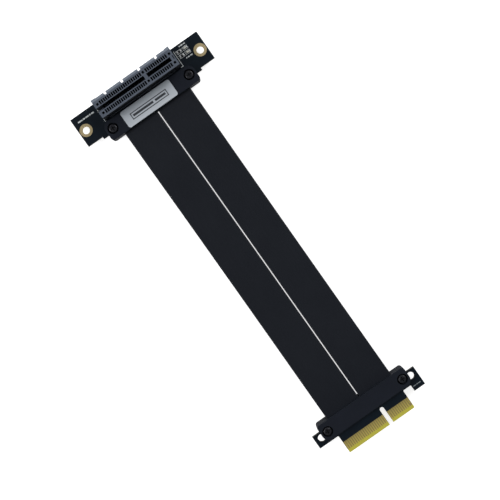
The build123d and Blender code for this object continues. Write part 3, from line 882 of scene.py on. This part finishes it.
# %% [markdown]
# ## Solder at the chips
#
# Solder climbs the tinned ends of each chip and runs out on its pad, so what shines beside the
# slot is mostly solder. Each fillet is a small wedge: its foot lies on the board, its back is
# against the chip, and its slope faces outwards and up.

# %% Solder fillets
FILLET_RUN = 0.24 * MM
FILLET_SHARE = 0.8
CHIP_WIDTH = 0.8 * MM


def wedge(work, foot_x, y, side, half_width, base_z, rise):
    """A closed wedge whose back stands at foot_x and which runs out to the given side."""
    corners = [(foot_x, base_z), (foot_x + side * FILLET_RUN, base_z), (foot_x, base_z + rise)]
    near, far = [[work.verts.new((x, y + part * half_width, z)) for x, z in corners]
                 for part in (-1, 1)]
    work.faces.new(near)
    work.faces.new(reversed(far))
    for here in range(3):
        after = (here + 1) % 3
        work.faces.new((near[here], far[here], far[after], near[after]))


def solder_fillets(name):
    """Wedges at both ends of the four chips, as one piece of closed wedges."""
    work = bmesh.new()
    for node in ("indicator_leds", "indicator_resistors"):
        low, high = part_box(node)
        rise = (high.z - low.z) * FILLET_SHARE
        for y in (low.y + CHIP_WIDTH / 2, high.y - CHIP_WIDTH / 2):
            for side, foot_x in ((-1, low.x), (1, high.x)):
                wedge(work, foot_x, y, side, CHIP_WIDTH / 2, low.z, rise)
    bmesh.ops.recalc_face_normals(work, faces=work.faces)
    return add_piece(name, mesh_of(work, name, bright_tin))


fillets = solder_fillets("indicator_solder_fillets")
print("fillets:", len(fillets.data.polygons), "faces")

# %% [markdown]
# ## Ink
#
# The marks on the boards are epoxy ink pushed through a screen, about 0.02 mm thick. They
# could be painted in the board's material, but real raised ink is simple to model and stays
# sharp in any view. Each mark is a thin closed block that lies on its surface, and a function
# makes blocks from a list of rectangles. Two blocks that shared an edge would not be closed
# meshes any more, so a hair of bare board stays between them.

# %% Ink and its blocks
INK_THICKNESS = 0.02 * MM
# The hair, like every rectangle of ink, is in millimetres.
HAIR = 0.01


def screen_ink(name, colour, roughness):
    """Printed epoxy ink, slightly uneven in thickness."""
    material, tree, shader, place = start_material(name, colour, roughness)
    grain = add_node(tree, "ShaderNodeTexNoise",
                     {"Vector": place, "Scale": scale_for(0.1), "Detail": NOISE_DETAIL})
    relief = add_node(tree, "ShaderNodeBump",
                      {"Height": grain, "Distance": 0.01 * MM, "Strength": 0.4})
    set_sockets(tree, shader, {"Normal": relief})
    return material


def ink_marks(name, rectangles, base_z, material):
    """Thin blocks on a surface; a rectangle is its middle x and y and its two sides."""
    work = bmesh.new()
    for rectangle in rectangles:
        x, y, across, along = [value * MM for value in rectangle]
        block = bmesh.ops.create_cube(work, size=1.0)["verts"]
        bmesh.ops.scale(work, verts=block, vec=(across, along, INK_THICKNESS))
        bmesh.ops.translate(work, verts=block, vec=(x, y, base_z + INK_THICKNESS / 2))
    return add_piece(name, mesh_of(work, name, material))


def frame_of(x, y, across, along, line):
    """Four bars round a rectangle, a hair apart at the corners."""
    side = along - line - 2 * HAIR
    return [(x, y + along / 2, across + line, line), (x, y - along / 2, across + line, line),
            (x - across / 2, y, line, side), (x + across / 2, y, line, side)]


def bars(x, y, widths, gap, height):
    """A row of bars of the given widths, centred on x."""
    start = x - (sum(widths) + gap * (len(widths) - 1)) / 2
    row = []
    for width in widths:
        row.append((start + width / 2, y, width, height))
        start += width + gap
    return row


print("a frame has", len(frame_of(0.0, 0.0, 2.0, 1.0, 0.1)), "marks")

# %% [markdown]
# ## Marks on the boards
#
# The ink on the slot's board shows the assembler where the housing goes and where each chip
# sits, and short bars mark its two ends. Most places are measured from the board's far edge,
# the housing and the chips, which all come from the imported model. The plug's board has three
# small bars on its tail.

# %% Ink marks on the boards
OUTLINE_PAST_LEFT = 0.45
OUTLINE_PAST_RIGHT = 1.1
NEAR_LINE_FROM_EDGE = 8.75
INK_LINE = 0.2
CORNER_RUN = 2.4
SIDE_RUN = 7.2
SEAT_FROM_CHIP_END = 0.43
SEAT_ACROSS, SEAT_ALONG, SEAT_LINE = 2.3, 1.4, 0.16
END_BAR_GAP = 0.3
END_BARS = (
    {"x": -26.55, "from_edge": 2.8, "widths": (2.3, 1.0, 1.6, 0.7, 1.3), "height": 0.6},
    {"x": 24.4, "from_edge": 1.1, "widths": (0.5, 1.1, 0.8), "height": 0.5},
    {"x": 24.4, "from_edge": 6.8, "widths": (0.5, 0.9, 1.2), "height": 0.5},
)
TAIL_BARS_X, TAIL_BARS_FROM_TIP = 23.8, 8.0
TAIL_BARS, TAIL_BAR_GAP, TAIL_BAR_HEIGHT = (1.3, 0.8, 1.2), 0.25, 0.35


def housing_outline(far_edge):
    """Two sides and two near corners of the outline that the housing stands in."""
    low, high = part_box("slot_housing")
    left_x = low.x / MM - OUTLINE_PAST_LEFT
    right_x = high.x / MM + OUTLINE_PAST_RIGHT
    near_y = far_edge - NEAR_LINE_FROM_EDGE
    corner = CORNER_RUN - INK_LINE - 2 * HAIR
    return [(left_x, near_y + SIDE_RUN / 2, INK_LINE, SIDE_RUN + INK_LINE),
            (right_x, near_y + SIDE_RUN / 2, INK_LINE, SIDE_RUN + INK_LINE),
            (left_x + CORNER_RUN / 2, near_y, corner, INK_LINE),
            (right_x - CORNER_RUN / 2, near_y, corner, INK_LINE)]


def chip_seats():
    """A frame round each of the four chips."""
    seats = []
    for node in ("indicator_leds", "indicator_resistors"):
        low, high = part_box(node)
        seat_x = (low.x + high.x) / 2 / MM
        for seat_y in (low.y / MM + SEAT_FROM_CHIP_END, high.y / MM - SEAT_FROM_CHIP_END):
            seats += frame_of(seat_x, seat_y, SEAT_ACROSS, SEAT_ALONG, SEAT_LINE)
    return seats


slot_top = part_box("slot_board")[1]
slot_marks = housing_outline(slot_top.y / MM) + chip_seats()
for row in END_BARS:
    slot_marks += bars(row["x"], slot_top.y / MM - row["from_edge"], row["widths"],
                       END_BAR_GAP, row["height"])
ink_marks("slot_board_ink", slot_marks, slot_top.z,
          screen_ink("white_screen_ink", "#c3c8c9", 0.6))
tail_marks = bars(TAIL_BARS_X, TIP_Y / MM + TAIL_BARS_FROM_TIP, TAIL_BARS, TAIL_BAR_GAP,
                  TAIL_BAR_HEIGHT)
ink_marks("plug_board_ink", tail_marks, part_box("plug_board")[1].z,
          screen_ink("grey_screen_ink", "#7c8488", 0.6))
print("marks:", len(slot_marks), "on the slot's board and", len(tail_marks), "on the plug's")

# %% [markdown]
# ## The label plate
#
# The silver plate on the slot's cover is a satin aluminium foil on a stiff backing. The foil
# has a fine rolled grain along its length, so its highlight spreads across it, and its colour
# is painted darker towards the slot as painted shade. It carries a plain drawing of a card
# slot, a long and a short field with the key between them, in dark grey ink.

# %% Label
DRAWN_ALONG_X = (0.03, 1.0, 1.0)
# The sign is in millimetres, and stands a little below the middle of the plate.
SIGN_DOWN = 0.35
SIGN_LENGTH, SIGN_HEIGHT, SIGN_LINE = 18.0, 2.6, 0.4
SIGN_FIELDS, FIELD_GAP, FIELD_HEIGHT = (10.2, 5.3), 1.0, 1.0


def satin_foil(low_y, high_y):
    """Rolled aluminium foil: fine lengthwise grain, and painted shade towards the slot."""
    material, tree, shader, place = start_material("satin_foil", "#b6bcc4", 0.45, metallic=0.25)
    y = add_node(tree, "ShaderNodeSeparateXYZ", {"Vector": place}, "Y")
    along = add_node(tree, "ShaderNodeMapRange",
                     {"Value": y, "From Min": low_y, "From Max": high_y})
    rolled = add_node(tree, "ShaderNodeMapping", {"Vector": place, "Scale": DRAWN_ALONG_X})
    grain = add_node(tree, "ShaderNodeTexNoise",
                     {"Vector": rolled, "Scale": scale_for(0.12), "Detail": 4.0})
    fine = add_node(tree, "ShaderNodeMix", {
        "Factor": grain, FIRST: "#bac1c9", SECOND: "#c8ced5"}, MIXED, data_type="RGBA")
    # Painted shade: the foil's colour is mixed darker towards the slot.
    colour = add_node(tree, "ShaderNodeMix", {
        "Factor": along, FIRST: fine, SECOND: "#a0a7af"}, MIXED, data_type="RGBA")
    roughness = add_node(tree, "ShaderNodeMapRange",
                         {"Value": grain, "To Min": 0.36, "To Max": 0.5})
    relief = add_node(tree, "ShaderNodeBump",
                      {"Height": grain, "Distance": 0.006 * MM, "Strength": 0.4})
    set_sockets(tree, shader, {"Base Color": colour, "Roughness": roughness, "Normal": relief})
    return material


plate_low, plate_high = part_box("slot_label_plate")
finish_node("slot_label_plate", satin_foil(plate_low.y, plate_high.y))
sign_x = (plate_low.x + plate_high.x) / 2 / MM
sign_y = (plate_low.y + plate_high.y) / 2 / MM - SIGN_DOWN
sign = frame_of(sign_x, sign_y, SIGN_LENGTH, SIGN_HEIGHT, SIGN_LINE)
sign += bars(sign_x, sign_y, SIGN_FIELDS, FIELD_GAP, FIELD_HEIGHT)
ink_marks("slot_label_ink", sign, plate_high.z,
          screen_ink("dark_screen_ink", "#2c2f35", 0.5))
print("label sign has", len(sign), "marks")

# %% [markdown]
# ## The table
#
# The object lies on white paper, and the picture shows it as plain white with almost no
# shadow. More light would bleach the paper but wash out the black ribbons as well. So the
# paper also glows, but only where it is looked at or mirrored. That glow lights nothing, and
# a faint soft shadow stays.

# %% Floor
FLOOR_SIZE = 3.0
PAPER_GLOW = 0.8
WHITE = (1, 1, 1, 1)


def seen_directly(tree):
    """One where the ray comes from the camera, a mirror or through glass, otherwise zero."""
    ray = add_node(tree, "ShaderNodeLightPath", out=None).outputs
    straight = add_node(tree, "ShaderNodeMath",
                        {0: ray["Is Camera Ray"], 1: ray["Is Glossy Ray"]}, operation="ADD")
    with_glass = add_node(tree, "ShaderNodeMath",
                          {0: straight, 1: ray["Is Transmission Ray"]}, operation="ADD")
    return add_node(tree, "ShaderNodeMath", {0: with_glass, 1: 1.0}, operation="MINIMUM")


def floor_material():
    """White paper that looks white, apart from the object's soft shadow."""
    material = bpy.data.materials.new("white_paper")
    material.use_nodes = True
    tree = material.node_tree
    tree.nodes.clear()
    paper = add_node(tree, "ShaderNodeBsdfDiffuse", {"Color": "#d0d0d0"})
    strength = add_node(tree, "ShaderNodeMath", {0: seen_directly(tree), 1: PAPER_GLOW},
                        operation="MULTIPLY")
    glow = add_node(tree, "ShaderNodeEmission", {"Color": WHITE, "Strength": strength})
    both = add_node(tree, "ShaderNodeAddShader", {0: paper, 1: glow})
    add_node(tree, "ShaderNodeOutputMaterial", {"Surface": both}, None)
    return material


def make_floor():
    """Large flat sheet just under the object."""
    work = bmesh.new()
    bmesh.ops.create_grid(work, x_segments=1, y_segments=1, size=FLOOR_SIZE / 2)
    add_object("floor", mesh_of(work, "floor", floor_material()))


make_floor()
print("floor of", FLOOR_SIZE, "m")

# %% [markdown]
# ## Light and background
#
# The blacks in the picture stay black. That is a light tent: white walls all round, and a
# dark opening overhead where the camera looks in. A flat black surface mirrors the opening,
# so it keeps its depth, while square lamps light it from the sides, about 35 degrees above
# the table. A world can draw such a tent from the direction of a ray: white up to the top of
# the walls, and from there darker and darker to the rim of the opening. The light that it
# sheds on the object is that of an even, dim room.

# %% Lamps and light tent
LAMPS = (
    {"name": "far_lamp", "place": (-0.15, 1.15, 0.75), "size": 0.6, "power": 3.0},
    {"name": "right_lamp", "place": (1.05, 0.3, 0.85), "size": 0.6, "power": 11.5},
    {"name": "left_lamp", "place": (-1.05, 0.3, 0.85), "size": 0.6, "power": 11.5},
)
ROOM_LEVEL = 0.2
WALL_LEVEL, OPENING_LEVEL = 1.0, 0.06
WALL_TOP, OPENING_RIM = 0.26, 0.62


def make_lamp(name, place, size, power):
    """Square area lamp aimed at the object."""
    data = bpy.data.lights.new(name, "AREA")
    data.size = size
    data.energy = power
    lamp = add_object(name, data)
    lamp.location = place
    lamp.rotation_euler = (-Vector(place)).to_track_quat("-Z", "Y").to_euler()


def make_world():
    """Dim room light from all sides; what is looked at directly is white walls and an opening."""
    world = bpy.data.worlds.new("light_tent")
    world.use_nodes = True
    bpy.context.scene.world = world
    tree = world.node_tree
    direction = add_node(tree, "ShaderNodeTexCoord", out="Generated")
    upward = add_node(tree, "ShaderNodeSeparateXYZ", {"Vector": direction}, "Z")
    tent = add_node(tree, "ShaderNodeMapRange", {
        "Value": upward, "From Min": WALL_TOP, "From Max": OPENING_RIM,
        "To Min": WALL_LEVEL, "To Max": OPENING_LEVEL})
    level = add_node(tree, "ShaderNodeMix",
                     {"Factor": seen_directly(tree), "A": ROOM_LEVEL, "B": tent})
    set_sockets(tree, tree.nodes["Background"], {"Color": WHITE, "Strength": level})


for lamp in LAMPS:
    make_lamp(**lamp)
make_world()
bpy.context.scene.view_settings.view_transform = "Standard"
print("lamps:", [lamp["name"] for lamp in LAMPS], "in a", bpy.context.scene.world.name)
